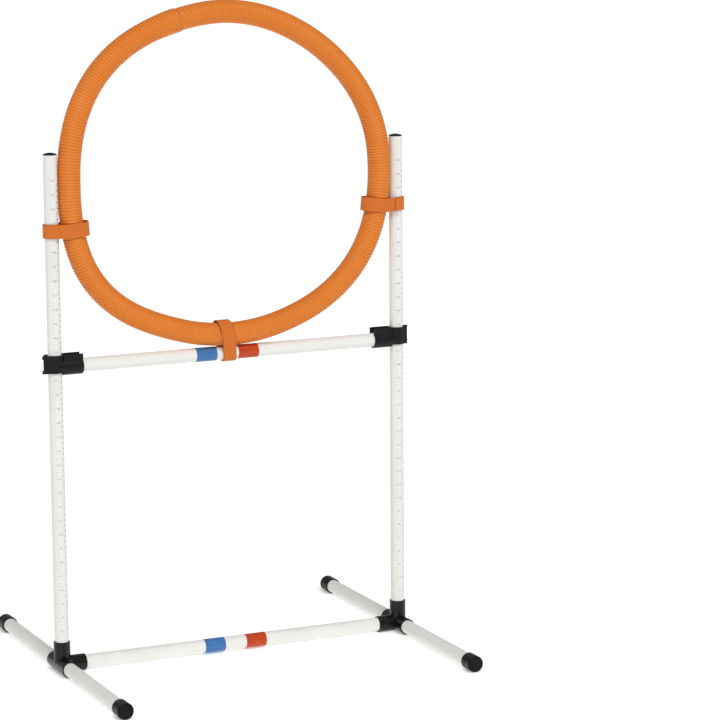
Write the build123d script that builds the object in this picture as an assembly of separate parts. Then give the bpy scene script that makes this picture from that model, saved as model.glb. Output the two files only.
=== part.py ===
from build123d import *
import os
from math import asin, cos, degrees, radians, sin, sqrt, tan

# Agility hurdle: two upright posts on a flat H-shaped base of plastic pipe, a jump bar held in
# two clips that slide up and down the posts, and a hoop of corrugated hose strapped above the bar.
# Millimetres. +X runs along the bars, +Y is the way the dog runs, +Z is up.
# The origin is on the floor, midway between the two posts.

os.makedirs("parts", exist_ok=True)

# ---------------------------------------------------------------- driving dimensions
post_spacing = 668.0          # centre to centre of the two posts
post_top_height = 940.0       # floor to the top of a post cap
foot_length = 658.0           # over both caps of one foot
jump_bar_height = 559.0       # floor to the axis of the jump bar at rest

# pipe, the same for feet, posts and bars
pipe_radius = 12.5
pipe_wall = 1.8
foot_pipe_wall = 2.2          # the feet carry the frame, so their pipe is thicker
socket_clearance = 0.1        # radial, pipe in a fitting or a cap

# four-way base fittings
fitting_wall = 2.3
socket_depth = 28.0           # how far a pipe goes into a fitting
shoulder_gap = 2.5            # a pipe's end stays this far off the pipes that cross it
shoulder_ledge = 2.5          # the stop inside a fitting, inward of the pipe's outside
fitting_edge = 0.8

# foot caps
cap_wall = 2.4
cap_length = 31.0
cap_end_wall = 2.5
cap_round = 3.0

# post caps: a plug with a low domed head, flush with the pipe
head_lip = 1.2                # straight part of the head
head_dome = 2.8               # rise of the dome above it
plug_depth = 14.0
plug_wall = 1.5
plug_clearance = 0.1

# colour bands on both bars
band_width = 39.5
band_gap = 42.0               # plain pipe left between the two bands
band_thickness = 0.35
band_clearance = 0.05

# jump bar
bar_end_play = 2.52           # between the bar's nearer end and the clip's collar
jump_bar_shift = -8.0         # the bar lies a little to the left in its clips

# bar clips: a split collar round the post and a split cradle round the bar, at right angles
clip_wall = 2.9
clip_clearance = 0.08         # radial, collar on post and cradle on bar
clip_opening_angle = 33.0     # half of the mouth, seen from the collar's axis
collar_below_bar = 10.0       # bottom of the collar, below the axis of the bar
collar_height = 32.0
cradle_length = 34.0          # from the collar's outside towards the middle
clip_lip_thickness = 2.2
cradle_lip_height = 7.0       # from the clip's outside to the tip of a lip
cradle_lip_flare = 2.75       # how much further out a lip's tip is than its root
collar_lip_height = 3.0       # the collar's short lip
collar_lip_flare = 1.2
collar_tab_height = 10.3      # the collar's long lip, a tab to pull it open with
collar_tab_flare = -0.6
tab_notch_depth = 2.2         # the notch in the long edge of the tab
tab_notch_height = 20.0
clip_edge = 0.4

# hoop of corrugated hose
hose_radius = 21.0
hose_wall = 1.5               # from the bottoms of the corrugations to their crests
hoop_post_clearance = 0.4     # between the hose and each post, where they come closest
hoop_bar_clearance = 0.5      # between the hose and the top of the jump bar
crown_flatness = 10.0         # how much larger the crown's radius is than half the hoop's width
side_tightness = 11.0         # how much smaller the sides' radius is
bottom_flatness = 50.0        # how much larger the bottom's radius is
hoop_joint_angle = 17.0       # where the hose's ends meet, left of the top

# hoop connector, a curved plug in both ends of the hose
connector_length = 64.0
connector_wall = 1.6
connector_clearance = 0.15
connector_collar = 1.0        # thickness of the ring that shows between the hose's ends
collar_set_back = 0.8         # the ring stays below the hose's outside
collar_end_clearance = 0.1

# straps
strap_width = 25.0
strap_thickness = 2.0
side_strap_share = 0.624      # of the way from the hoop's bottom to the tops of the posts
side_strap_stagger = 5.0      # the right strap sits this much higher, the left one this much lower
strap_clearance = 0.4         # between a strap and what it goes round
hook_tab_thickness = 1.2
hook_tab_length = 24.0
hook_tab_margin = 1.0         # the tab is this much narrower than the strap, each side
hook_tab_gap = 0.05

# ---------------------------------------------------------------- worked-out places
post_x = post_spacing / 2
socket_radius = pipe_radius + socket_clearance
fitting_radius = socket_radius + fitting_wall
fitting_shoulder = pipe_radius + shoulder_gap   # centre of a fitting to the stop that a pipe meets
fitting_reach = fitting_shoulder + socket_depth
fitting_core_radius = pipe_radius - shoulder_ledge
cap_radius = socket_radius + cap_wall
axis_height = cap_radius                        # axis of the feet and the base crossbar
post_head_base = post_top_height - head_dome - head_lip
foot_cap_mouth = foot_length / 2 - cap_length
clip_bore_radius = pipe_radius + clip_clearance
clip_radius = clip_bore_radius + clip_wall
jump_bar_length = post_spacing - 2 * (clip_radius + abs(jump_bar_shift) + bar_end_play)
strap_bore_radius = pipe_radius + strap_clearance
SIDES = {"left": -1, "right": 1}
ENDS = {"front": -1, "rear": 1}


def pipe(length, wall=pipe_wall):
    """A straight pipe along +Z from the origin."""
    return extrude(Circle(pipe_radius) - Circle(pipe_radius - wall), length)


def along_x(shape, start, height):
    """Turn a shape built along +Z so that it runs along +X from start, at a height."""
    return Plane((start, 0, height), x_dir=(0, 1, 0), z_dir=(1, 0, 0)) * shape


def along_y(shape, x, start, direction):
    """Turn a shape built along +Z so that it runs along +Y or -Y at the height of the feet."""
    return Plane((x, start, axis_height), x_dir=(direction, 0, 0), z_dir=(0, direction, 0)) * shape


def write(shape, name):
    """Write one node and say how large it is."""
    shape.label = name
    export_step(shape, os.path.join("parts", name + ".step"))
    print(f"{name:28s} {shape.volume:12.1f} mm3")


# ---------------------------------------------------------------- base
def base_fitting(side):
    """A side-outlet tee with sockets to the front, the rear, the middle and up."""
    arms = [
        Plane((0, 0, 0), x_dir=(1, 0, 0), z_dir=(0, 1, 0)),
        Plane((0, 0, 0), x_dir=(1, 0, 0), z_dir=(0, -1, 0)),
        Plane((0, 0, 0), x_dir=(0, 1, 0), z_dir=(1, 0, 0)),
        Plane((0, 0, 0), x_dir=(1, 0, 0), z_dir=(0, 0, 1)),
    ]
    body = Sphere(fitting_radius)
    for arm in arms:
        body += arm * extrude(Circle(fitting_radius), fitting_reach)
    mouths = [
        edge
        for edge in body.edges().filter_by(GeomType.CIRCLE)
        if edge.arc_center.length > fitting_reach - 1
    ]
    body = chamfer(mouths, fitting_edge)
    for arm in arms:
        body -= arm * extrude(Circle(fitting_core_radius), fitting_reach)
        body -= arm * Pos(0, 0, fitting_shoulder) * extrude(Circle(socket_radius), fitting_reach)
    body = Pos(-post_x, 0, axis_height) * body
    if side > 0:
        body = mirror(body, about=Plane.YZ)
    return body


def foot_pipe(side, end):
    """One half of a foot, from the fitting's shoulder to the end wall of its cap."""
    length = foot_length / 2 - cap_end_wall - fitting_shoulder
    return along_y(pipe(length, foot_pipe_wall), side * post_x, end * fitting_shoulder, end)


def foot_cap(side, end):
    """A round cap over the end of a foot; it lies on the floor."""
    body = extrude(Circle(cap_radius), cap_length)
    body = fillet(body.edges().group_by(Axis.Z)[-1], cap_round)
    body = chamfer(body.edges().group_by(Axis.Z)[0], fitting_edge)
    body -= extrude(Circle(socket_radius), cap_length - cap_end_wall)
    return along_y(body, side * post_x, end * foot_cap_mouth, end)


def base_crossbar():
    """The pipe that joins the two base fittings."""
    length = post_spacing - 2 * fitting_shoulder
    return along_x(pipe(length), -length / 2, axis_height)


def colour_band(side, middle, height):
    """A thin sleeve on a bar, left or right of the plain stretch in its middle."""
    inner = pipe_radius + band_clearance
    sleeve = extrude(Circle(inner + band_thickness) - Circle(inner), band_width)
    start = middle + side * (band_gap + band_width) / 2 - band_width / 2
    return along_x(sleeve, start, height)


# ---------------------------------------------------------------- posts
def post(side):
    """An upright from the fitting's shoulder to the underside of its cap."""
    foot = axis_height + fitting_shoulder
    return Pos(side * post_x, 0, foot) * pipe(post_head_base - foot)


def post_cap(side):
    """A plug in the top of a post, with a shallow domed head."""
    rim = pipe_radius - band_clearance
    dome_radius = (rim**2 + head_dome**2) / (2 * head_dome)
    head = extrude(Circle(rim), head_lip + head_dome)
    head &= Pos(0, 0, head_lip + head_dome - dome_radius) * Sphere(dome_radius)
    plug_radius = pipe_radius - pipe_wall - plug_clearance
    plug = extrude(Circle(plug_radius) - Circle(plug_radius - plug_wall), -plug_depth)
    return Pos(side * post_x, 0, post_head_base) * (head + plug)


# ---------------------------------------------------------------- bar clips
def lip(height, flare):
    """The outline of one flared lip, on the +X side of a mouth that opens to +Y."""
    half_mouth = radians(clip_opening_angle)
    root_inner = (clip_bore_radius * sin(half_mouth), clip_bore_radius * cos(half_mouth))
    root_outer = (clip_radius * sin(1.35 * half_mouth), clip_radius * cos(1.35 * half_mouth))
    tip_x = root_inner[0] + flare
    tip_y = clip_radius + height
    tip_inner = (tip_x, tip_y)
    tip_outer = (tip_x + clip_lip_thickness, tip_y - clip_lip_thickness / 2)
    return make_face(Polyline(root_inner, tip_inner, tip_outer, root_outer, close=True))


def split_tube(length, right_lip, left_lip):
    """A split tube along +Z, open to +Y between two lips, with the edges of both ends taken off."""
    wedge = 2 * clip_radius
    spread = wedge * tan(radians(clip_opening_angle))
    ring = Circle(clip_radius) - Circle(clip_bore_radius)
    ring -= make_face(Polyline((0, 0), (spread, wedge), (-spread, wedge), close=True))
    tube = extrude(ring + right_lip + mirror(left_lip, about=Plane.YZ), length)
    ends = tube.edges().group_by(Axis.Z)
    return chamfer(ends[0] + ends[-1], clip_edge)


def bar_clip(side):
    """Collar on the post and cradle for the bar, moulded in one piece and the same for both posts."""
    tab = lip(collar_tab_height, collar_tab_flare)
    collar = Rot(0, 0, 90) * split_tube(collar_height, lip(collar_lip_height, collar_lip_flare), tab)
    tab_tip = clip_radius + collar_tab_height
    notch = Box(2 * tab_notch_depth, 2 * clip_radius, tab_notch_height)
    collar -= Pos(-tab_tip, 0, collar_height / 2) * notch
    collar = Pos(0, 0, -collar_below_bar) * collar
    cradle_lip = lip(cradle_lip_height, cradle_lip_flare)
    cradle = split_tube(cradle_length + clip_wall, cradle_lip, cradle_lip)
    cradle = Plane((clip_bore_radius, 0, 0), x_dir=(0, 1, 0), z_dir=(1, 0, 0)) * cradle
    web = Plane((0, 0, 0), x_dir=(0, 1, 0), z_dir=(1, 0, 0)) * extrude(Circle(clip_radius), clip_radius)
    body = collar + cradle + (web & Box(2 * clip_radius, 2 * clip_radius, 2 * collar_below_bar))
    body -= Cylinder(clip_bore_radius, 6 * collar_height)
    body = Pos(-post_x, 0, jump_bar_height) * body
    if side > 0:
        body = Rot(0, 0, 180) * body
    return body


# ---------------------------------------------------------------- jump bar
def jump_bar():
    """The bar that lies in the two clips."""
    return along_x(pipe(jump_bar_length), jump_bar_shift - jump_bar_length / 2, jump_bar_height)


# ---------------------------------------------------------------- hoop
half_width = post_x - pipe_radius - hoop_post_clearance - hose_radius
crown_radius = half_width + crown_flatness
side_radius = half_width - side_tightness
bottom_radius = half_width + bottom_flatness
crown_angle = degrees(asin(side_tightness / (crown_flatness + side_tightness)))
bottom_angle = degrees(asin(side_tightness / (bottom_flatness + side_tightness)))
hoop_bottom = jump_bar_height + pipe_radius + hoop_bar_clearance + hose_radius
side_center_x = half_width - side_radius
bottom_center_z = hoop_bottom + bottom_radius
side_center_z = bottom_center_z - (bottom_radius - side_radius) * cos(radians(bottom_angle))
crown_center_z = side_center_z - (crown_radius - side_radius) * cos(radians(crown_angle))
hoop_top = crown_center_z + crown_radius


def torus_piece(center_x, center_z, radius, heading, turn, outer, inner=0.0):
    """A piece of bent tube. Headings are degrees clockwise from the top, seen from the front."""
    section = Circle(outer)
    if inner > 0:
        section -= Circle(inner)
    start = radians(heading)
    where = (center_x + radius * sin(start), 0, center_z + radius * cos(start))
    section = Plane(where, x_dir=(0, 1, 0), z_dir=(cos(start), 0, -sin(start))) * section
    return revolve(section, Axis((center_x, 0, center_z), (0, 1, 0)), turn)


def hoop_hose():
    """The hose: crown, two sides and bottom as tangent arcs, open at the joint in the crown."""
    gap = degrees((connector_collar / 2 + collar_end_clearance) / crown_radius)
    joint = -hoop_joint_angle
    side_turn = 180 - crown_angle - bottom_angle
    stretches = [
        (0, crown_center_z, crown_radius, joint + gap, crown_angle - joint - gap),
        (side_center_x, side_center_z, side_radius, crown_angle, side_turn),
        (0, bottom_center_z, bottom_radius, 180 - bottom_angle, 2 * bottom_angle),
        (-side_center_x, side_center_z, side_radius, 180 + bottom_angle, side_turn),
        (0, crown_center_z, crown_radius, -crown_angle, crown_angle + joint - gap),
    ]
    hose = None
    for stretch in stretches:
        piece = torus_piece(*stretch, hose_radius, hose_radius - hose_wall)
        hose = piece if hose is None else hose + piece
    return hose


def hoop_connector():
    """The plug that joins the hose's ends, with a thin collar between them."""
    outer = hose_radius - hose_wall - connector_clearance
    turn = degrees(connector_length / crown_radius)
    collar_turn = degrees(connector_collar / crown_radius)
    place = (0, crown_center_z, crown_radius)
    plug = torus_piece(*place, -hoop_joint_angle - turn / 2, turn, outer, outer - connector_wall)
    ring_outer = hose_radius - collar_set_back
    ring = torus_piece(
        *place, -hoop_joint_angle - collar_turn / 2, collar_turn, ring_outer, outer - connector_wall
    )
    return plug + ring


def hose_side_x(height, radius):
    """How far an arc of the hose's side is from the middle, at a height beside the posts."""
    return side_center_x + sqrt(radius**2 - (height - side_center_z) ** 2)


# ---------------------------------------------------------------- straps
def belt(radius_a, radius_b, distance):
    """The outline of a belt round two circles, one at the origin and one along +X."""
    lean = (radius_a - radius_b) / distance
    rise = sqrt(1 - lean**2)
    span = make_face(
        Polyline(
            (radius_a * lean, radius_a * rise),
            (distance + radius_b * lean, radius_b * rise),
            (distance + radius_b * lean, -radius_b * rise),
            (radius_a * lean, -radius_a * rise),
            close=True,
        )
    )
    return Circle(radius_a) + Pos(distance, 0) * Circle(radius_b) + span


def strap_loop(hose_bore, distance):
    """A strap round a pipe at the origin and the hose along +X, centred on the plane XY."""
    outside = belt(strap_bore_radius + strap_thickness, hose_bore + strap_thickness, distance)
    inside = belt(strap_bore_radius, hose_bore, distance)
    return Pos(0, 0, -strap_width / 2) * extrude(outside - inside, strap_width)


def hook_tab(hose_bore, distance):
    """The sewn end that closes a strap, flat on its run between pipe and hose."""
    pipe_side = strap_bore_radius + strap_thickness
    hose_side = hose_bore + strap_thickness
    lean = (pipe_side - hose_side) / distance
    run = sqrt(distance**2 - (hose_side - pipe_side) ** 2)
    tab = Pos(run / 2, hook_tab_thickness / 2 + hook_tab_gap) * Rectangle(hook_tab_length, hook_tab_thickness)
    tab = extrude(tab, strap_width / 2 - hook_tab_margin, both=True)
    slope = degrees(asin(-lean))
    start = (pipe_side * lean, pipe_side * sqrt(1 - lean**2))
    return Pos(*start) * Rot(0, 0, slope) * tab


def side_strap(side):
    """A side strap's plane, its bore round the leaning hose and its post's distance from the hose."""
    height = hoop_bottom + side_strap_share * (post_head_base - hoop_bottom)
    height += side * side_strap_stagger
    middle = hose_side_x(height, side_radius)
    inside = hose_side_x(height - strap_width / 2, side_radius - hose_radius)
    plane = Plane((side * post_x, 0, height), x_dir=(-side, 0, 0), z_dir=(0, 0, side))
    return plane, middle - inside + strap_clearance, post_x - middle


def bottom_strap():
    """The bottom strap's plane, its bore round the curving hose and the bar's distance from the hose."""
    far_edge = abs(jump_bar_shift) + strap_width / 2
    inside = bottom_center_z - sqrt((bottom_radius - hose_radius) ** 2 - far_edge**2)
    plane = Plane((jump_bar_shift, 0, jump_bar_height), x_dir=(0, 0, 1), z_dir=(1, 0, 0))
    return plane, inside - hoop_bottom + strap_clearance, hoop_bottom - jump_bar_height


# ---------------------------------------------------------------- write every node
for side_name, side in SIDES.items():
    write(base_fitting(side), f"base_fitting_{side_name}")
    write(post(side), f"post_{side_name}")
    write(post_cap(side), f"post_cap_{side_name}")
    write(bar_clip(side), f"bar_clip_{side_name}")
    for end_name, end in ENDS.items():
        write(foot_pipe(side, end), f"foot_pipe_{side_name}_{end_name}")
        write(foot_cap(side, end), f"foot_cap_{side_name}_{end_name}")
    plane, hose_bore, distance = side_strap(side)
    write(plane * strap_loop(hose_bore, distance), f"strap_{side_name}")
    write(plane * hook_tab(hose_bore, distance), f"strap_tab_{side_name}")

write(base_crossbar(), "base_crossbar")
write(colour_band(-1, 0.0, axis_height), "base_band_blue")
write(colour_band(1, 0.0, axis_height), "base_band_red")
write(jump_bar(), "jump_bar")
write(colour_band(-1, jump_bar_shift, jump_bar_height), "jump_bar_band_blue")
write(colour_band(1, jump_bar_shift, jump_bar_height), "jump_bar_band_red")
write(hoop_hose(), "hoop_hose")
write(hoop_connector(), "hoop_connector")
plane, hose_bore, distance = bottom_strap()
write(plane * strap_loop(hose_bore, distance), "strap_bottom")
write(plane * hook_tab(hose_bore, distance), "strap_tab_bottom")

print("hoop top", round(hoop_top + hose_radius, 1), "widest at", round(side_center_z, 1))
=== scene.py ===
import logging
import math
from dataclasses import dataclass, field
from enum import Enum
from typing import Callable, Iterable, Sequence

import bmesh
import bpy
from mathutils import Matrix, Vector


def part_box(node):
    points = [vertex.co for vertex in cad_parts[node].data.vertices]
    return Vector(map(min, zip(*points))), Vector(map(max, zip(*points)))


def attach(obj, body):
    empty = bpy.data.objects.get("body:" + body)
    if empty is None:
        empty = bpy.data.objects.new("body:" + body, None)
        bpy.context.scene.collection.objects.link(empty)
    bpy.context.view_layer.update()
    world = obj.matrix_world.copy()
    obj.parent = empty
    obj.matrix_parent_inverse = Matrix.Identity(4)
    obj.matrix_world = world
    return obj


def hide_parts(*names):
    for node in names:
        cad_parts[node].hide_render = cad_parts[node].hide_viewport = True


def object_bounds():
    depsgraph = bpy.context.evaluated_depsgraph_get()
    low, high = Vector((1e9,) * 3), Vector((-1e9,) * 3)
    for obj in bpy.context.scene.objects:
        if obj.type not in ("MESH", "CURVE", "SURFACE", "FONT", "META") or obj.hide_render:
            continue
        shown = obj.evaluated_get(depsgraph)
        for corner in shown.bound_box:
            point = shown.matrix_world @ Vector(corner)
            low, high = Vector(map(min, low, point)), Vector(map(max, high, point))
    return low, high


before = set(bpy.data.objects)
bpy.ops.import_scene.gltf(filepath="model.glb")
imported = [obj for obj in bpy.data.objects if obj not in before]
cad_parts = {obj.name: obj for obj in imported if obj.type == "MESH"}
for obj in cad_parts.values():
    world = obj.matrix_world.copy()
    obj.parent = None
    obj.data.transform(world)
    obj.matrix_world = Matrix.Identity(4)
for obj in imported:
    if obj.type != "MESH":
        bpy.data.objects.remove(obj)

# Looks of an agility hurdle: white pipe on an H-shaped base, a jump bar in two black clips, and a
# hoop of orange corrugated hose held by three hook-and-loop straps. Metres, in the frame of the CAD.

log = logging.getLogger("hurdle")
logging.basicConfig(level=logging.INFO, format="%(name)s: %(message)s")

MM = 0.001
INCH = 25.4 * MM
CENTIMETRE = 10.0 * MM
CAD_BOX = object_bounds()


class Side(Enum):
    """The two sides of the hurdle, seen from the front."""

    LEFT = "left"
    RIGHT = "right"


class Grain(Enum):
    """The direction that a pipe was drawn in."""

    ALONG_X = (0.02, 1.0, 1.0)
    ALONG_Y = (1.0, 0.02, 1.0)
    ALONG_Z = (1.0, 1.0, 0.02)


# ------------------------------------------------------------------ small tools


def deselect_all() -> None:
    """Leave nothing selected and no object in edit mode."""
    if bpy.context.object is not None and bpy.context.object.mode != "OBJECT":
        bpy.ops.object.mode_set(mode="OBJECT")
    bpy.ops.object.select_all(action="DESELECT")


def start_piece(name: str) -> bpy.types.Object:
    """Name the primitive that was just added.

    Args:
        name: the piece's name.

    Returns:
        The object.
    """
    piece = bpy.context.object
    piece.name = name
    piece.data.name = name
    return piece


def make_active(piece: bpy.types.Object) -> None:
    """Select one object alone and make it the active one."""
    deselect_all()
    piece.select_set(True)
    bpy.context.view_layer.objects.active = piece


def apply_place(piece: bpy.types.Object) -> None:
    """Move a piece's place, turn and scale into its mesh."""
    make_active(piece)
    bpy.ops.object.transform_apply(location=True, rotation=True, scale=True)


def apply_modifiers(piece: bpy.types.Object) -> None:
    """Apply all of a piece's modifiers, in order."""
    make_active(piece)
    for modifier in list(piece.modifiers):
        bpy.ops.object.modifier_apply(modifier=modifier.name)


def shade(piece: bpy.types.Object, degrees: float = 35.0) -> None:
    """Shade a piece smooth, with creases kept sharp.

    Args:
        piece: the mesh object.
        degrees: faces that meet at a larger angle keep a sharp edge.
    """
    make_active(piece)
    bpy.ops.object.shade_smooth_by_angle(angle=math.radians(degrees))


def move_points(piece: bpy.types.Object, place: Callable[[Vector], Vector]) -> None:
    """Move every vertex of a piece.

    Args:
        piece: the mesh object, unturned and unscaled.
        place: gives the new place of a point.
    """
    for vertex in piece.data.vertices:
        vertex.co = place(vertex.co.copy())
    piece.data.update()


def join_copies(name: str, pattern: bpy.types.Mesh, places: Iterable[Matrix]) -> bpy.types.Object:
    """Make one object of many placed copies of a mesh.

    Args:
        name: the new object's name.
        pattern: the mesh that repeats.
        places: where each copy goes.

    Returns:
        The new object.
    """
    builder = bmesh.new()
    for place in places:
        copy = pattern.copy()
        copy.transform(place)
        builder.from_mesh(copy)
        bpy.data.meshes.remove(copy)
    mesh = bpy.data.meshes.new(name)
    builder.to_mesh(mesh)
    builder.free()
    piece = bpy.data.objects.new(name, mesh)
    bpy.context.scene.collection.objects.link(piece)
    return piece


def settle(
    piece: bpy.types.Object,
    body: str,
    finish: bpy.types.Material,
    stands_for: Sequence[str] = (),
) -> bpy.types.Object:
    """Give a finished piece its body, its material and the nodes it stands for.

    Args:
        piece: the finished mesh object.
        body: the CAD body that it rides on.
        finish: its material.
        stands_for: CAD nodes that it replaces.

    Returns:
        The piece.
    """
    piece.data.materials.clear()
    piece.data.materials.append(finish)
    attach(piece, body)
    if stands_for:
        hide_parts(*stands_for)
    log.info("%s: %d faces on %s", piece.name, len(piece.data.polygons), body)
    return piece


def dress_node(node: str, finish: bpy.types.Material) -> None:
    """Give a CAD node that stays in view its finish."""
    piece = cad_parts[node]
    for slot in piece.material_slots:
        slot.material = finish
    log.info("%s: CAD node dressed with %s", node, finish.name)


# ------------------------------------------------------------------ finishes


class Shader:
    """A short way to write a node tree."""

    def __init__(self, name: str) -> None:
        """Start a material with a principled shader."""
        self.material = bpy.data.materials.new(name)
        self.material.use_nodes = True
        self.tree = self.material.node_tree
        self.surface = self.tree.nodes["Principled BSDF"]
        self.coordinates = self.tree.nodes.new("ShaderNodeTexCoord")

    def node(self, kind: str, **values: object) -> bpy.types.Node:
        """Add a node.

        Args:
            kind: the node's type.
            values: sockets by name with underscores for spaces, or the node's own properties.

        Returns:
            The node.
        """
        made = self.tree.nodes.new(kind)
        for name, value in values.items():
            if hasattr(made, name):
                setattr(made, name, value)
            else:
                self.feed(made, name.replace("_", " "), value)
        return made

    def feed(self, made: bpy.types.Node, socket: str, value: object) -> None:
        """Set or link one input of a node."""
        if isinstance(value, bpy.types.NodeSocket):
            self.tree.links.new(value, made.inputs[socket])
        else:
            made.inputs[socket].default_value = value

    def spot(self, scale: tuple[float, float, float] = (1.0, 1.0, 1.0)) -> bpy.types.NodeSocket:
        """Object coordinates, stretched by a scale."""
        mapping = self.node("ShaderNodeMapping", Scale=scale)
        self.tree.links.new(self.coordinates.outputs["Object"], mapping.inputs["Vector"])
        return mapping.outputs["Vector"]

    def noise(self, where: bpy.types.NodeSocket, scale: float, detail: float = 3.0) -> bpy.types.NodeSocket:
        """Noise from 0 to 1 at a scale in cells per metre."""
        made = self.node("ShaderNodeTexNoise", Vector=where, Scale=scale, Detail=detail)
        return made.outputs["Fac"]

    def span(
        self, value: bpy.types.NodeSocket, low: float, high: float, start: float = 0.35, end: float = 0.65
    ) -> bpy.types.NodeSocket:
        """Stretch a value that runs from start to end so that it runs from low to high."""
        made = self.node("ShaderNodeMapRange", Value=value)
        for socket, number in (("From Min", start), ("From Max", end), ("To Min", low), ("To Max", high)):
            made.inputs[socket].default_value = number
        return made.outputs["Result"]

    def math(self, operation: str, first: object, second: object = 0.0) -> bpy.types.NodeSocket:
        """One sum of two values."""
        made = self.node("ShaderNodeMath", operation=operation)
        for index, value in enumerate((first, second)):
            if isinstance(value, bpy.types.NodeSocket):
                self.tree.links.new(value, made.inputs[index])
            else:
                made.inputs[index].default_value = value
        return made.outputs[0]

    def blend(
        self,
        share: bpy.types.NodeSocket,
        first: tuple[float, float, float] | bpy.types.NodeSocket,
        second: tuple[float, float, float] | bpy.types.NodeSocket,
    ) -> bpy.types.NodeSocket:
        """Mix two colours."""
        made = self.node("ShaderNodeMix", data_type="RGBA")
        self.tree.links.new(share, made.inputs[0])
        for index, colour in ((6, first), (7, second)):
            if isinstance(colour, bpy.types.NodeSocket):
                self.tree.links.new(colour, made.inputs[index])
            else:
                made.inputs[index].default_value = (*colour, 1.0)
        return made.outputs[2]

    def bump(self, height: bpy.types.NodeSocket, strength: float, depth: float) -> None:
        """Raise the surface by a height.

        Args:
            height: from 0 to 1.
            strength: how much of it shows.
            depth: what a height of 1 is, in metres.
        """
        made = self.node("ShaderNodeBump", Height=height, Strength=strength, Distance=depth)
        self.tree.links.new(made.outputs["Normal"], self.surface.inputs["Normal"])

    def set(self, **values: object) -> None:
        """Set or link inputs of the principled shader."""
        for name, value in values.items():
            self.feed(self.surface, name.replace("_", " "), value)


@dataclass(frozen=True)
class PipePlastic:
    """White drawn pipe: faint drawing lines, a little mottling, a satin gloss."""

    name: str
    grain: Grain
    clean: tuple[float, float, float] = (0.80, 0.805, 0.765)
    dull: tuple[float, float, float] = (0.74, 0.745, 0.70)

    def build(self) -> bpy.types.Material:
        """Make the material."""
        shader = Shader(self.name)
        lines = shader.noise(shader.spot(self.grain.value), 1400.0, 2.0)
        clouds = shader.noise(shader.spot(), 14.0, 4.0)
        scuffs = shader.noise(shader.spot(self.grain.value), 260.0, 5.0)
        tone = shader.math("MULTIPLY", shader.span(clouds, 0.0, 0.8), shader.span(lines, 0.5, 1.0))
        shader.set(
            Base_Color=shader.blend(tone, self.clean, self.dull),
            Roughness=shader.span(scuffs, 0.30, 0.46),
        )
        shader.surface.inputs["Specular IOR Level"].default_value = 0.34
        shader.bump(lines, 0.12, 0.05 * MM)
        return shader.material


@dataclass(frozen=True)
class MouldedPlastic:
    """Black moulded plastic with a fine spark grain and worn patches."""

    name: str
    base: tuple[float, float, float] = (0.0032, 0.0036, 0.0041)
    worn: tuple[float, float, float] = (0.0085, 0.0095, 0.0105)
    roughness: float = 0.34
    specular: float = 0.22

    def build(self) -> bpy.types.Material:
        """Make the material."""
        shader = Shader(self.name)
        sparks = shader.noise(shader.spot(), 2600.0, 2.0)
        rubbed = shader.noise(shader.spot(), 70.0, 5.0)
        shader.set(
            Base_Color=shader.blend(shader.span(rubbed, 0.0, 1.0, 0.48, 0.72), self.base, self.worn),
            Roughness=shader.span(rubbed, self.roughness - 0.05, self.roughness + 0.10),
        )
        shader.surface.inputs["Specular IOR Level"].default_value = self.specular
        shader.bump(sparks, 0.22, 0.06 * MM)
        return shader.material


@dataclass(frozen=True)
class BandTape:
    """Glossy colour tape, slightly uneven where it was stretched round the pipe."""

    name: str
    colour: tuple[float, float, float]
    shade: tuple[float, float, float]

    def build(self) -> bpy.types.Material:
        """Make the material."""
        shader = Shader(self.name)
        stretched = shader.noise(shader.spot((0.35, 1.0, 1.0)), 120.0, 3.0)
        specks = shader.noise(shader.spot(), 900.0, 2.0)
        shader.set(
            Base_Color=shader.blend(shader.span(stretched, 0.0, 1.0), self.colour, self.shade),
            Roughness=shader.span(specks, 0.24, 0.36),
        )
        shader.surface.inputs["Specular IOR Level"].default_value = 0.3
        shader.surface.inputs["Coat Weight"].default_value = 0.06
        shader.surface.inputs["Coat Roughness"].default_value = 0.18
        shader.bump(stretched, 0.2, 0.08 * MM)
        return shader.material


@dataclass(frozen=True)
class HosePlastic:
    """Orange blow-moulded hose: painted shade darkens the grooves, and the crests are mottled."""

    name: str
    crest: tuple[float, float, float] = (0.71, 0.200, 0.019)
    # Colour at the bottom of a groove, darker than the crest: painted shade.
    groove: tuple[float, float, float] = (0.67, 0.178, 0.016)
    faded: tuple[float, float, float] = (0.75, 0.230, 0.032)

    def build(self) -> bpy.types.Material:
        """Make the material."""
        shader = Shader(self.name)
        # The deeper a point lies in a groove, the nearer its colour comes to the groove colour: painted shade in
        # the grooves.
        depth = shader.node("ShaderNodeAttribute", attribute_name=GROOVE_SHADE_DEPTH).outputs["Fac"]
        patches = shader.noise(shader.spot(), 26.0, 4.0)
        flow = shader.noise(shader.spot(), 420.0, 3.0)
        crest = shader.blend(shader.span(patches, 0.0, 0.55), self.crest, self.faded)
        shader.set(
            Base_Color=shader.blend(depth, crest, self.groove),
            Roughness=shader.span(flow, 0.40, 0.54),
        )
        shader.surface.inputs["Specular IOR Level"].default_value = 0.28
        shader.bump(flow, 0.15, 0.10 * MM)
        return shader.material


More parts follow.
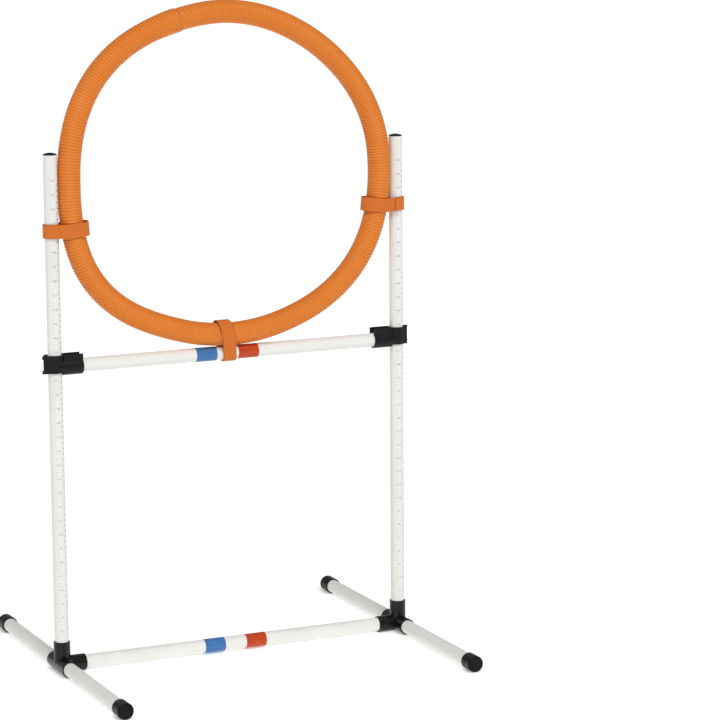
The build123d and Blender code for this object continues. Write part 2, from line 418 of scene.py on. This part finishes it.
@dataclass(frozen=True)
class Webbing:
    """Woven hook-and-loop tape: ribs across, crossed by finer threads, with a soft sheen and painted shade along
    both edges.
    """

    name: str
    thread: tuple[float, float, float] = (0.66, 0.172, 0.021)
    gap: tuple[float, float, float] = (0.50, 0.105, 0.012)
    rib: float = 0.85 * MM
    strand: float = 0.60 * MM
    # Distance from the middle where the painted shade along the tape's edges begins.
    selvedge: float = 11.3 * MM

    def build(self) -> bpy.types.Material:
        """Make the material."""
        shader = Shader(self.name)
        parts = shader.node("ShaderNodeSeparateXYZ", Vector=shader.coordinates.outputs["UV"])
        along = shader.math("MULTIPLY", parts.outputs["X"], 2 * math.pi / self.rib)
        across = shader.math("MULTIPLY", parts.outputs["Y"], 2 * math.pi / self.strand)
        wave = shader.math("MULTIPLY", shader.math("SINE", along), shader.math("SINE", across))
        height = shader.math("MULTIPLY_ADD", wave, 0.5)
        height.node.inputs[2].default_value = 0.5
        fuzz = shader.noise(shader.spot(), 1500.0, 4.0)
        tone = shader.math("MULTIPLY", shader.span(height, 1.0, 0.0, 0.0, 0.7), shader.span(fuzz, 0.6, 1.0))
        # Near both edges the colour turns towards the gap colour: painted shade along the tape's edges.
        middle = shader.math("ABSOLUTE", parts.outputs["Y"])
        selvedge = shader.span(middle, 0.0, 0.7, self.selvedge, self.selvedge + 0.4 * MM)
        tone = shader.math("MAXIMUM", tone, selvedge)
        shader.set(Base_Color=shader.blend(tone, self.thread, self.gap), Roughness=shader.span(fuzz, 0.62, 0.82))
        shader.surface.inputs["Sheen Weight"].default_value = 0.25
        shader.surface.inputs["Sheen Roughness"].default_value = 0.4
        shader.surface.inputs["Specular IOR Level"].default_value = 0.25
        shader.bump(shader.math("ADD", height, fuzz), 0.35, 0.15 * MM)
        return shader.material


@dataclass(frozen=True)
class Thread:
    """Twisted sewing thread."""

    name: str
    colour: tuple[float, float, float] = (0.78, 0.26, 0.06)
    dark: tuple[float, float, float] = (0.50, 0.13, 0.02)

    def build(self) -> bpy.types.Material:
        """Make the material."""
        shader = Shader(self.name)
        twist = shader.noise(shader.spot((1.0, 3.0, 1.0)), 2200.0, 2.0)
        shader.set(Base_Color=shader.blend(shader.span(twist, 0.0, 1.0), self.colour, self.dark), Roughness=0.6)
        shader.bump(twist, 0.3, 0.05 * MM)
        return shader.material


@dataclass(frozen=True)
class PrintInk:
    """Grey pad-printed ink, thinner in places."""

    name: str
    full: tuple[float, float, float] = (0.16, 0.165, 0.17)
    thin: tuple[float, float, float] = (0.34, 0.345, 0.34)

    def build(self) -> bpy.types.Material:
        """Make the material."""
        shader = Shader(self.name)
        wear = shader.noise(shader.spot(), 500.0, 4.0)
        shader.set(
            Base_Color=shader.blend(shader.span(wear, 0.0, 1.0, 0.4, 0.7), self.full, self.thin),
            Roughness=shader.span(wear, 0.42, 0.58),
        )
        return shader.material


# Name of the mesh attribute with each hose point's groove depth, which the hose finish uses to paint shade into
# the grooves.
GROOVE_SHADE_DEPTH = "groove_depth"


@dataclass
class Finishes:
    """Every material of the hurdle, built once."""

    pipe: dict[Grain, bpy.types.Material] = field(default_factory=dict)
    named: dict[str, bpy.types.Material] = field(default_factory=dict)

    def build(self) -> "Finishes":
        """Make all the materials."""
        for grain in Grain:
            self.pipe[grain] = PipePlastic(f"white_pipe_{grain.name.lower()}", grain).build()
        self.named["fitting"] = MouldedPlastic("black_fitting", roughness=0.22, specular=0.28).build()
        self.named["cap"] = MouldedPlastic("black_cap", roughness=0.30, specular=0.14).build()
        self.named["clip"] = MouldedPlastic("black_clip", roughness=0.42).build()
        self.named["blue"] = BandTape("blue_band", (0.042, 0.150, 0.38), (0.052, 0.172, 0.42)).build()
        self.named["red"] = BandTape("red_band", (0.47, 0.045, 0.006), (0.54, 0.058, 0.009)).build()
        self.named["hose"] = HosePlastic("orange_hose").build()
        self.named["strap"] = Webbing("orange_webbing").build()
        self.named["thread"] = Thread("orange_thread").build()
        self.named["ink"] = PrintInk("scale_ink").build()
        return self


# ------------------------------------------------------------------ frame


@dataclass
class PipeFrame:
    """The pipes, fittings, caps, clips and bands, which keep their CAD shape."""

    finishes: Finishes

    def dress(self) -> None:
        """Dress every CAD node that stays in view."""
        named, pipe = self.finishes.named, self.finishes.pipe
        for side in Side:
            dress_node(f"base_fitting_{side.value}", named["fitting"])
            dress_node(f"post_{side.value}", pipe[Grain.ALONG_Z])
            dress_node(f"post_cap_{side.value}", named["cap"])
            dress_node(f"bar_clip_{side.value}", named["clip"])
            for end in ("front", "rear"):
                dress_node(f"foot_pipe_{side.value}_{end}", pipe[Grain.ALONG_Y])
                dress_node(f"foot_cap_{side.value}_{end}", named["cap"])
        for bar, bands in (("base_crossbar", "base_band"), ("jump_bar", "jump_bar_band")):
            dress_node(bar, pipe[Grain.ALONG_X])
            dress_node(f"{bands}_blue", named["blue"])
            dress_node(f"{bands}_red", named["red"])
        dress_node("hoop_connector", named["hose"])


@dataclass
class HeightScale:
    """The scale printed on a post: inches on its front, centimetres on its right."""

    side: Side
    ink: bpy.types.Material
    inch_tick_turn: float = math.radians(-25.0)
    inch_turn: float = math.radians(-3.0)
    centimetre_tick_turn: float = math.radians(31.0)
    centimetre_turn: float = math.radians(49.0)
    first_inch: int = 3
    last_inch: int = 35
    inch_digit: float = 4.4 * MM
    centimetre_digit: float = 3.6 * MM
    tick_length: float = 3.4 * MM
    tick_width: float = 0.55 * MM
    ink_height: float = 0.03 * MM
    rise: float = 2.8 * MM

    def digit_meshes(self) -> list[bpy.types.Mesh]:
        """The ten digits, each a thin solid one metre high about its own middle."""
        meshes = []
        for digit in range(10):
            deselect_all()
            bpy.ops.object.text_add(location=(0, 0, 0))
            text = bpy.context.object
            text.data.body = str(digit)
            text.data.align_x = "CENTER"
            text.data.align_y = "CENTER"
            text.data.size = 1.4
            text.data.extrude = 0.01
            text.data.resolution_u = 2
            bpy.ops.object.convert(target="MESH")
            meshes.append(bpy.context.object.data.copy())
            bpy.data.objects.remove(bpy.context.object)
        return meshes

    def number(self, digits: list[bpy.types.Mesh], value: int, x: float, z: float, height: float) -> list:
        """Where the digits of one number go on the flat strip.

        Args:
            digits: the digit meshes.
            value: the number.
            x: the middle of the number, along the strip's width.
            z: its middle, up the post.
            height: of a digit.

        Returns:
            Pairs of a digit's mesh and its place.
        """
        text = str(value)
        step = 0.78 * height
        placed = []
        for index, letter in enumerate(text):
            left = x + (index - (len(text) - 1) / 2) * step
            place = Matrix.Translation((left, z, 0)) @ Matrix.Diagonal((height, height, 1.5 * MM, 1))
            placed.append((digits[int(letter)], place))
        return placed

    def tick_mesh(self) -> bpy.types.Mesh:
        """A tick one metre long and one metre wide, cut so that it can bend round the post."""
        deselect_all()
        bpy.ops.mesh.primitive_cube_add(size=1.0, location=(0, 0, 0))
        tick = bpy.context.object
        bpy.ops.object.mode_set(mode="EDIT")
        for cut in (-0.25, 0.0, 0.25):
            bpy.ops.mesh.select_all(action="SELECT")
            bpy.ops.mesh.bisect(plane_co=(cut, 0, 0), plane_no=(1, 0, 0))
        bpy.ops.object.mode_set(mode="OBJECT")
        mesh = tick.data.copy()
        bpy.data.objects.remove(tick)
        return mesh

    def build(self) -> bpy.types.Object:
        """Print the scale on its post."""
        low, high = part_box(f"post_{self.side.value}")
        radius = (high.x - low.x) / 2
        middle = (high.x + low.x) / 2
        digits, tick = self.digit_meshes(), self.tick_mesh()
        placed = []
        for inch in range(self.first_inch, self.last_inch + 1):
            placed += self.number(digits, inch, radius * self.inch_turn, inch * INCH + self.rise, self.inch_digit)
            for part, share in ((0.0, 1.0), (0.25, 0.5), (0.5, 0.7), (0.75, 0.5)):
                height = (inch + part) * INCH + self.rise
                placed.append((tick, self.tick_place(radius * self.inch_tick_turn, height, share)))
        lowest = math.ceil(self.first_inch * INCH / CENTIMETRE)
        highest = math.floor(self.last_inch * INCH / CENTIMETRE)
        for mark in range(lowest, highest + 1):
            height = mark * CENTIMETRE + self.rise
            placed += self.number(digits, mark, radius * self.centimetre_turn, height, self.centimetre_digit)
            placed.append((tick, self.tick_place(radius * self.centimetre_tick_turn, height, 0.8)))
        builder = bmesh.new()
        for mesh, place in placed:
            copy = mesh.copy()
            copy.transform(place)
            builder.from_mesh(copy)
            bpy.data.meshes.remove(copy)
        flat = bpy.data.meshes.new(f"height_scale_{self.side.value}")
        builder.to_mesh(flat)
        builder.free()
        for mesh in (*digits, tick):
            bpy.data.meshes.remove(mesh)
        scale = bpy.data.objects.new(flat.name, flat)
        bpy.context.scene.collection.objects.link(scale)

        def round_the_post(point: Vector) -> Vector:
            turn = point.x / radius
            out = radius + self.ink_height / 2 + point.z
            return Vector((middle + out * math.sin(turn), -out * math.cos(turn), point.y))

        move_points(scale, round_the_post)
        make_active(scale)
        bpy.ops.object.mode_set(mode="EDIT")
        bpy.ops.mesh.select_all(action="SELECT")
        bpy.ops.mesh.remove_doubles(threshold=1e-7)
        bpy.ops.mesh.normals_make_consistent(inside=False)
        bpy.ops.object.mode_set(mode="OBJECT")
        return settle(scale, "root", self.ink)

    def tick_place(self, x: float, z: float, share: float) -> Matrix:
        """Where a tick goes on the flat strip, at a share of the full length."""
        size = Matrix.Diagonal((share * self.tick_length, self.tick_width, self.ink_height, 1))
        return Matrix.Translation((x, z, 0)) @ size


# ------------------------------------------------------------------ hoop


@dataclass(frozen=True)
class Sag:
    """A stretch where the flexible hose lies off its arc, tapering away on both sides."""

    heading: float
    reach: float
    rise: float

    def at(self, heading: float) -> float:
        """How far outside its arc the hose lies at a heading, in radians."""
        apart = abs(math.remainder(heading - self.heading, 2 * math.pi))
        if apart >= self.reach:
            return 0.0
        return self.rise * math.cos(math.pi / 2 * apart / self.reach) ** 2


@dataclass
class HoopPath:
    """The hoop's centre line: crown, two sides and bottom, as tangent arcs with a few soft sags."""

    hose_radius: float = 21.0 * MM
    crown_flatness: float = 10.0 * MM
    side_tightness: float = 11.0 * MM
    bottom_flatness: float = 50.0 * MM
    joint_turn: float = math.radians(-17.0)
    joint_gap: float = 1.2 * MM
    steps: int = 900
    halvings: int = 30
    sags: tuple[Sag, ...] = (
        Sag(math.radians(37.0), math.radians(45.0), -6.5 * MM),
        Sag(math.radians(126.0), math.radians(40.0), 8.8 * MM),
        Sag(math.radians(233.0), math.radians(38.0), 15.0 * MM),
        Sag(math.radians(310.0), math.radians(42.0), 10.0 * MM),
    )

    def __post_init__(self) -> None:
        """Work out the arcs from the CAD hose's box."""
        low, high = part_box("hoop_hose")
        half_width = (high.x - low.x) / 2 - self.hose_radius
        crown = half_width + self.crown_flatness
        side = half_width - self.side_tightness
        bottom = half_width + self.bottom_flatness
        crown_turn = math.asin(self.side_tightness / (self.crown_flatness + self.side_tightness))
        bottom_turn = math.asin(self.side_tightness / (self.bottom_flatness + self.side_tightness))
        bottom_z = low.z + self.hose_radius + bottom
        side_z = bottom_z - (bottom - side) * math.cos(bottom_turn)
        crown_z = side_z - (crown - side) * math.cos(crown_turn)
        half = math.pi
        self.side_z = side_z
        self.arcs = [
            (crown_turn, crown, (0.0, crown_z)),
            (half - bottom_turn, side, (half_width - side, side_z)),
            (half + bottom_turn, bottom, (0.0, bottom_z)),
            (2 * half - crown_turn, side, (side - half_width, side_z)),
            (2 * half + crown_turn, crown, (0.0, crown_z)),
        ]
        self.crown = crown

    def at(self, heading: float) -> Vector:
        """The point where the line heads a given way, in radians clockwise from the top."""
        off = sum(sag.at(heading) for sag in self.sags)
        for end, radius, (x, z) in self.arcs:
            if heading <= end:
                reach = radius + off
                return Vector((x + reach * math.sin(heading), 0.0, z + reach * math.cos(heading)))
        raise ValueError("the heading is past the end of the hoop")

    def ends(self) -> tuple[float, float]:
        """The headings where the hose starts and ends, either side of the joint."""
        half_gap = self.joint_gap / 2 / self.crown
        return self.joint_turn + half_gap, self.joint_turn + 2 * math.pi - half_gap

    def points(self) -> list[Vector]:
        """Points along the hose, close together, from one end to the other."""
        start, end = self.ends()
        return [self.at(start + (end - start) * index / self.steps) for index in range(self.steps + 1)]

    def curve(self) -> bpy.types.Object:
        """A curve object along the hose, from one end to the other."""
        data = bpy.data.curves.new("hoop_path", "CURVE")
        data.dimensions = "3D"
        spline = data.splines.new("POLY")
        spline.points.add(self.steps)
        for knot, place in zip(spline.points, self.points()):
            knot.co = (*place, 1.0)
        path = bpy.data.objects.new("hoop_path", data)
        bpy.context.scene.collection.objects.link(path)
        return path

    def length(self) -> float:
        """The length of the hose between its ends."""
        points = self.points()
        return sum((there - here).length for here, there in zip(points, points[1:]))

    def beside_post(self, side: Side, height: float) -> tuple[float, float]:
        """Where the line passes a post below the hoop's widest level.

        Args:
            side: the post's side.
            height: the level to look at.

        Returns:
            How far out the line is there, and how much it leans, in radians.
        """
        below = math.pi
        above = math.pi * (0.5 if side is Side.RIGHT else 1.5)
        for _ in range(self.halvings):
            middle = (above + below) / 2
            if self.at(middle).z > height:
                above = middle
            else:
                below = middle
        step = self.at(middle + 1 / self.steps) - self.at(middle - 1 / self.steps)
        return abs(self.at(middle).x), math.atan2(abs(step.x), abs(step.z))


@dataclass
class CorrugatedHose:
    """The orange hose, one corrugation repeated and bent round the hoop."""

    path: HoopPath
    finish: bpy.types.Material
    pitch: float = 5.4 * MM
    depth: float = 1.1 * MM
    around: int = 32
    cuff_length: float = 62.0 * MM
    cuff_swell: float = 1.0 * MM
    cuff_shrink: float = 0.4 * MM

    def corrugation(self, pitch: float) -> bpy.types.Object:
        """One corrugation as an open tube along X, with its depth stored on its points for the painted shade in
        the grooves.

        Args:
            pitch: the exact length of one corrugation.

        Returns:
            The tube.
        """
        crest = self.path.hose_radius
        deselect_all()
        bpy.ops.mesh.primitive_circle_add(
            vertices=self.around,
            radius=crest - self.depth,
            fill_type="NOTHING",
            location=(0, 0, 0),
            rotation=(0, math.pi / 2, 0),
        )
        tube = start_piece("hoop_hose_skin")
        apply_place(tube)
        bpy.ops.object.mode_set(mode="EDIT")
        bpy.ops.mesh.select_all(action="SELECT")
        steps = ((0.14, 0.35), (0.27, 0.95), (0.5, 1.0), (0.73, 0.95), (0.86, 0.35), (1.0, 0.0))
        here, radius = 0.0, crest - self.depth
        for share, height in steps:
            wanted = crest - self.depth * (1 - height)
            bpy.ops.mesh.extrude_region_move(
                TRANSFORM_OT_translate={"value": ((share - here) * pitch, 0, 0)}
            )
            grow = wanted / radius
            bpy.ops.transform.resize(value=(1, grow, grow), center_override=(share * pitch, 0, 0))
            here, radius = share, wanted
        bpy.ops.object.mode_set(mode="OBJECT")
        # How far each point lies below the crest, from 0 to 1; it drives the painted shade in the grooves.
        depth = tube.data.attributes.new(GROOVE_SHADE_DEPTH, "FLOAT", "POINT")
        for index, vertex in enumerate(tube.data.vertices):
            out = math.hypot(vertex.co.y, vertex.co.z)
            depth.data[index].value = max(0.0, (crest - out) / self.depth) ** 1.5
        return tube

    def build(self) -> bpy.types.Object:
        """Repeat the corrugation, close the ends and bend the hose to the hoop."""
        length = self.path.length()
        count = round(length / self.pitch)
        hose = self.corrugation(length / count)
        array = hose.modifiers.new("corrugations", "ARRAY")
        array.count = count
        array.use_merge_vertices = True
        array.merge_threshold = 1e-5
        apply_modifiers(hose)
        self.swell_cuffs(hose, length)
        self.close_ends(hose, length)
        path = self.path.curve()
        bend = hose.modifiers.new("hoop", "CURVE")
        bend.object = path
        bend.deform_axis = "POS_X"
        apply_modifiers(hose)
        bpy.data.objects.remove(path)
        shade(hose, 50.0)
        return settle(hose, "hoop", self.finish, ["hoop_hose"])

    def swell_cuffs(self, hose: bpy.types.Object, length: float) -> None:
        """Widen one end of the hose a little, where the connector fills it, and narrow the other."""
        crest = self.path.hose_radius

        def swell(point: Vector) -> Vector:
            inside = min(point.x, length - point.x)
            share = max(0.0, 1 - inside / self.cuff_length)
            swell = self.cuff_swell if point.x > length / 2 else -self.cuff_shrink
            grow = 1 + swell * share * share * (3 - 2 * share) / crest
            return Vector((point.x, point.y * grow, point.z * grow))

        move_points(hose, swell)

    def close_ends(self, hose: bpy.types.Object, length: float) -> None:
        """Close both ends of the straight hose with a flat face."""
        make_active(hose)
        bpy.ops.object.mode_set(mode="EDIT")
        bpy.ops.mesh.select_all(action="DESELECT")
        bpy.ops.mesh.select_mode(type="VERT")
        bpy.ops.mesh.select_non_manifold()
        bpy.ops.mesh.edge_face_add()
        bpy.ops.mesh.select_all(action="SELECT")
        bpy.ops.mesh.normals_make_consistent(inside=False)
        bpy.ops.object.mode_set(mode="OBJECT")


# ------------------------------------------------------------------ straps


@dataclass
class Belt:
    """The line that a strap follows round a pipe at the origin and the hose along +X."""

    pipe_radius: float
    hose_radius: float
    distance: float
    bulge: float = 0.0

    def __post_init__(self) -> None:
        """Work out the arcs and runs."""
        self.slope = math.asin((self.hose_radius - self.pipe_radius) / self.distance)
        self.run = self.distance * math.cos(self.slope)
        self.pipe_arc = self.pipe_radius * (math.pi - 2 * self.slope) / 2
        self.hose_arc = self.hose_radius * (math.pi + 2 * self.slope)
        self.total = 2 * self.pipe_arc + 2 * self.run + self.hose_arc

    def at(self, along: float) -> tuple[Vector, Vector]:
        """A point on the belt and its outward normal.

        Args:
            along: the way from the back of the pipe, over the front run, round the hose.

        Returns:
            The point and the normal, both flat.
        """
        along %= self.total
        if along < self.pipe_arc:
            turn = math.pi - along / self.pipe_radius
            normal = Vector((math.cos(turn), math.sin(turn)))
            return normal * self.pipe_radius, normal
        along -= self.pipe_arc
        front = Vector((-math.sin(self.slope), math.cos(self.slope)))
        if along < self.run:
            direction = Vector((math.cos(self.slope), math.sin(self.slope)))
            return front * self.pipe_radius + direction * along, front
        along -= self.run
        if along < self.hose_arc:
            turn = math.pi / 2 + self.slope - along / self.hose_radius
            normal = Vector((math.cos(turn), math.sin(turn)))
            out = self.hose_radius + self.bulge * max(0.0, math.cos(turn)) ** 2
            return Vector((self.distance, 0)) + normal * out, normal
        along -= self.hose_arc
        back = Vector((front.x, -front.y))
        if along < self.run:
            direction = Vector((-math.cos(self.slope), math.sin(self.slope)))
            start = Vector((self.distance, 0)) + back * self.hose_radius
            return start + direction * along, back
        along -= self.run
        turn = -math.pi / 2 - self.slope - along / self.pipe_radius
        normal = Vector((math.cos(turn), math.sin(turn)))
        return normal * self.pipe_radius, normal


@dataclass
class HookStrap:
    """One strap round the hose and a pipe, closed by its tail, which lies on its front."""

    name: str
    belt: Belt
    place: Matrix
    finishes: Finishes
    tail: tuple[float, float]
    sewn: tuple[float, float]
    lean: float = 0.0
    skew: float = 0.0
    width: float = 25.0 * MM
    thickness: float = 1.7 * MM
    tail_thickness: float = 1.3 * MM
    tail_lift: float = 0.9 * MM
    tail_tip: float = 7.0 * MM
    tail_skew: float = 0.7 * MM
    edge: float = 0.45 * MM
    step: float = 1.6 * MM
    stitch: float = 2.3 * MM
    stitch_margin: float = 2.2 * MM

    def wrap(self, point: Vector) -> Vector:
        """Bend a point of the flat strap round the belt.

        Args:
            point: along the strap, across it, and above its inside.

        Returns:
            The point in the hurdle's frame.
        """
        flat, normal = self.belt.at(point.x)
        spot = flat + normal * point.z
        share = min(1.0, max(0.0, spot.x / self.belt.distance))
        share = share * share * (3 - 2 * share)
        lean = self.lean * share
        beyond = spot.x - self.belt.distance
        across = point.y + self.skew * (0.5 - spot.x / self.belt.distance)
        local = Vector(
            (
                self.belt.distance + beyond * math.cos(lean) - across * math.sin(lean),
                spot.y,
                beyond * math.sin(lean) + across * math.cos(lean),
            )
        )
        return self.place @ local

    def strip(self, name: str, start: float, length: float, floor: float, thickness: float) -> bpy.types.Object:
        """A flat strip with rounded edges, cut across so that it can bend.

        Args:
            name: the piece's name.
            start: where it starts along the belt.
            length: its length.
            floor: its inside, above the belt.
            thickness: of the tape.

        Returns:
            The strip, still flat.
        """
        deselect_all()
        bpy.ops.mesh.primitive_cube_add(size=1.0, location=(start + length / 2, 0, floor + thickness / 2))
        strip = start_piece(name)
        strip.scale = (length, self.width, thickness)
        apply_place(strip)
        bevel = strip.modifiers.new("edge", "BEVEL")
        bevel.width = min(self.edge, 0.4 * thickness)
        bevel.segments = 2
        apply_modifiers(strip)
        bpy.ops.object.mode_set(mode="EDIT")
        cuts = math.ceil(length / self.step)
        for index in range(1, cuts):
            bpy.ops.mesh.select_all(action="SELECT")
            bpy.ops.mesh.bisect(plane_co=(start + length * index / cuts, 0, 0), plane_no=(1, 0, 0))
        for share in (-0.3, -0.1, 0.1, 0.3):
            bpy.ops.mesh.select_all(action="SELECT")
            bpy.ops.mesh.bisect(plane_co=(0, share * self.width, 0), plane_no=(0, 1, 0))
        bpy.ops.object.mode_set(mode="OBJECT")
        self.lay_out(strip)
        return strip

    def lay_out(self, strip: bpy.types.Object) -> None:
        """Give a flat strip a UV map in metres, for its weave."""
        layer = strip.data.uv_layers.new(name="tape") if not strip.data.uv_layers else strip.data.uv_layers[0]
        for loop in strip.data.loops:
            point = strip.data.vertices[loop.vertex_index].co
            layer.data[loop.index].uv = (point.x, point.y)

    def build_loop(self) -> bpy.types.Object:
        """The strap itself, all the way round."""
        loop = self.strip(self.name, 0.0, self.belt.total, 0.0, self.thickness)
        move_points(loop, self.wrap)
        self.turn_outwards(loop)
        shade(loop)
        return settle(loop, "hoop", self.finishes.named["strap"], [self.cad_name()])

    def turn_outwards(self, piece: bpy.types.Object) -> None:
        """Point all of a bent piece's faces outwards."""
        make_active(piece)
        bpy.ops.object.mode_set(mode="EDIT")
        bpy.ops.mesh.select_all(action="SELECT")
        bpy.ops.mesh.normals_make_consistent(inside=False)
        bpy.ops.object.mode_set(mode="OBJECT")

    def cad_name(self) -> str:
        """The CAD node that the strap stands for."""
        return self.name.replace("_webbing", "")

    def build_tail(self) -> bpy.types.Object:
        """The tail on the front of the strap, lifted a little at its tip."""
        node = self.cad_name().replace("strap", "strap_tab")
        start, end = self.tail
        tail = self.strip(f"{node}_webbing", start, end - start, self.thickness, self.tail_thickness)

        def raise_tip(point: Vector) -> Vector:
            share = max(0.0, 1 - (end - point.x) / self.tail_tip)
            slant = self.tail_skew * (point.x - start) / (end - start)
            return Vector((point.x, point.y * 0.97 - slant, point.z + self.tail_lift * share * share + 0.05 * MM))

        move_points(tail, raise_tip)
        move_points(tail, self.wrap)
        self.turn_outwards(tail)
        shade(tail)
        return settle(tail, "hoop", self.finishes.named["strap"], [node])

    def build_stitches(self) -> bpy.types.Object:
        """A box of stitches through the sewn part of the tail."""
        deselect_all()
        bpy.ops.mesh.primitive_uv_sphere_add(segments=8, ring_count=5, radius=0.5, location=(0, 0, 0))
        pattern = start_piece("stitch_pattern")
        pattern.scale = (self.stitch * 0.8, 0.55 * MM, 0.5 * MM)
        apply_place(pattern)
        top = self.thickness + self.tail_thickness + 0.05 * MM
        start, end = self.sewn
        reach = self.width / 2 - self.stitch_margin
        corners = [(start, -reach), (end, -reach), (end, reach), (start, reach), (start, -reach)]
        places = []
        for (x0, y0), (x1, y1) in zip(corners, corners[1:]):
            side = math.hypot(x1 - x0, y1 - y0)
            turn = math.atan2(y1 - y0, x1 - x0)
            count = round(side / self.stitch)
            for index in range(count):
                share = (index + 0.5) / count
                spot = (x0 + (x1 - x0) * share, y0 + (y1 - y0) * share, top)
                places.append(Matrix.Translation(spot) @ Matrix.Rotation(turn, 4, "Z"))
        name = self.cad_name().replace("strap", "strap_stitches")
        stitches = join_copies(name, pattern.data, places)
        bpy.data.objects.remove(pattern)
        move_points(stitches, self.wrap)
        self.turn_outwards(stitches)
        shade(stitches, 80.0)
        return settle(stitches, "hoop", self.finishes.named["thread"])

    def build(self) -> None:
        """Build the strap, its tail and its stitches."""
        self.build_loop()
        self.build_tail()
        self.build_stitches()


@dataclass
class Hoop:
    """The hose and the three straps that hold it."""

    finishes: Finishes
    pipe_clearance: float = 0.35 * MM
    side_bulge: float = 7.0 * MM
    side_lean: float = 0.5
    bottom_bulge: float = 3.6 * MM
    bottom_skew: float = 5.0 * MM
    tail_start: float = -17.0 * MM
    side_tail_reach: float = 12.0 * MM
    sewn_length: float = 12.0 * MM
    sewn_margin: float = 2.5 * MM

    def build(self) -> None:
        """Build the hose, then a strap at each post and one at the bar."""
        path = HoopPath()
        CorrugatedHose(path, self.finishes.named["hose"]).build()
        for side in Side:
            self.side_strap(side, path).build()
        self.bottom_strap(path).build()

    def side_strap(self, side: Side, path: HoopPath) -> HookStrap:
        """The strap that ties the hose to a post."""
        low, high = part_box(f"post_{side.value}")
        post_x, pipe_radius = (high.x + low.x) / 2, (high.x - low.x) / 2
        low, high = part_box(f"strap_{side.value}")
        height = (low.z + high.z) / 2
        hose_x, lean = path.beside_post(side, height)
        sign = -1 if side is Side.LEFT else 1
        belt = Belt(
            pipe_radius + self.pipe_clearance,
            path.hose_radius + self.pipe_clearance,
            abs(post_x) - hose_x,
            self.side_bulge,
        )
        place = Matrix.Translation((post_x, 0, height)) @ Matrix.Diagonal((-sign, -1, 1, 1))
        end = belt.pipe_arc + self.side_tail_reach
        sewn = (end - self.sewn_margin - self.sewn_length, end - self.sewn_margin)
        return HookStrap(
            f"strap_{side.value}_webbing",
            belt,
            place,
            self.finishes,
            tail=(self.tail_start, end),
            sewn=sewn,
            lean=self.side_lean * lean,
        )

    def bottom_strap(self, path: HoopPath) -> HookStrap:
        """The strap that ties the hose to the jump bar."""
        low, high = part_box("jump_bar")
        pipe_radius, bar_z = (high.z - low.z) / 2, (high.z + low.z) / 2
        low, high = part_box("strap_bottom")
        middle = (low.x + high.x) / 2
        belt = Belt(
            pipe_radius + self.pipe_clearance,
            path.hose_radius + self.pipe_clearance,
            path.at(math.pi).z - bar_z,
            self.bottom_bulge,
        )
        turn = Matrix(((0, 0, 1, middle), (0, -1, 0, 0), (1, 0, 0, bar_z), (0, 0, 0, 1)))
        sewn = (belt.pipe_arc - self.sewn_length / 2, belt.pipe_arc + self.sewn_length / 2)
        return HookStrap(
            "strap_bottom_webbing",
            belt,
            turn,
            self.finishes,
            tail=(self.tail_start, belt.pipe_arc + belt.run + 0.4 * belt.hose_arc),
            sewn=sewn,
            skew=self.bottom_skew,
        )


# ------------------------------------------------------------------ stage


@dataclass
class Studio:
    """A pale floor, a soft sky, one soft key light and the camera."""

    focal_length: float = 153.3
    yaw: float = math.radians(24.52)
    pitch: float = math.radians(10.233)
    roll: float = math.radians(-0.412)
    distance: float = 5.672
    side_step: float = 0.2535
    sky: float = 0.375
    key: float = 1.8
    floor_glow: float = 0.35
    floor_size: float = 160.0

    def build(self) -> None:
        """Set up the stage."""
        self.add_camera()
        self.add_floor()
        self.add_light()
        bpy.context.scene.view_settings.view_transform = "Standard"

    def add_camera(self) -> None:
        """The camera, in front, to the left and a little above the hoop, with a long lens."""
        forward = Vector(
            (
                math.sin(self.yaw) * math.cos(self.pitch),
                math.cos(self.yaw) * math.cos(self.pitch),
                -math.sin(self.pitch),
            )
        )
        level = Vector((math.cos(self.yaw), -math.sin(self.yaw), 0))
        upright = level.cross(forward)
        right = level * math.cos(self.roll) + upright * math.sin(self.roll)
        up = upright * math.cos(self.roll) - level * math.sin(self.roll)
        height = (CAD_BOX[0].z + CAD_BOX[1].z) / 2 - 0.0743
        target = Vector((self.side_step, 0, height))
        camera = bpy.data.objects.new("camera", bpy.data.cameras.new("camera"))
        bpy.context.scene.collection.objects.link(camera)
        turn = Matrix((right, up, -forward)).transposed().to_4x4()
        camera.matrix_world = Matrix.Translation(target - forward * self.distance) @ turn
        camera.data.lens = self.focal_length
        camera.data.sensor_width = 36.0
        camera.data.clip_end = 300.0
        bpy.context.scene.camera = camera

    def add_floor(self) -> None:
        """A wide plain floor."""
        deselect_all()
        bpy.ops.mesh.primitive_plane_add(size=self.floor_size, location=(0, 0, -0.0002))
        floor = start_piece("floor")
        shader = Shader("studio_floor")
        shader.set(Base_Color=(0.95, 0.95, 0.95, 1.0), Roughness=0.9)
        shader.surface.inputs["Specular IOR Level"].default_value = 0.1
        shader.surface.inputs["Emission Color"].default_value = (1.0, 1.0, 1.0, 1.0)
        shader.surface.inputs["Emission Strength"].default_value = self.floor_glow
        floor.data.materials.append(shader.material)

    def add_light(self) -> None:
        """An even sky and a broad key light from the front left."""
        world = bpy.data.worlds.new("studio")
        world.use_nodes = True
        background = world.node_tree.nodes["Background"]
        background.inputs["Color"].default_value = (1.0, 1.0, 1.0, 1.0)
        background.inputs["Strength"].default_value = self.sky
        bpy.context.scene.world = world
        sun = bpy.data.objects.new("key_light", bpy.data.lights.new("key_light", "SUN"))
        bpy.context.scene.collection.objects.link(sun)
        sun.data.energy = self.key
        sun.data.angle = math.radians(30.0)
        sun.rotation_euler = (math.radians(40.0), 0.0, math.radians(-10.0))


def main() -> None:
    """Build the hurdle's looks and its stage."""
    finishes = Finishes().build()
    Studio().build()
    PipeFrame(finishes).dress()
    for side in Side:
        HeightScale(side, finishes.named["ink"]).build()
    Hoop(finishes).build()


if __name__ == "__main__":
    main()
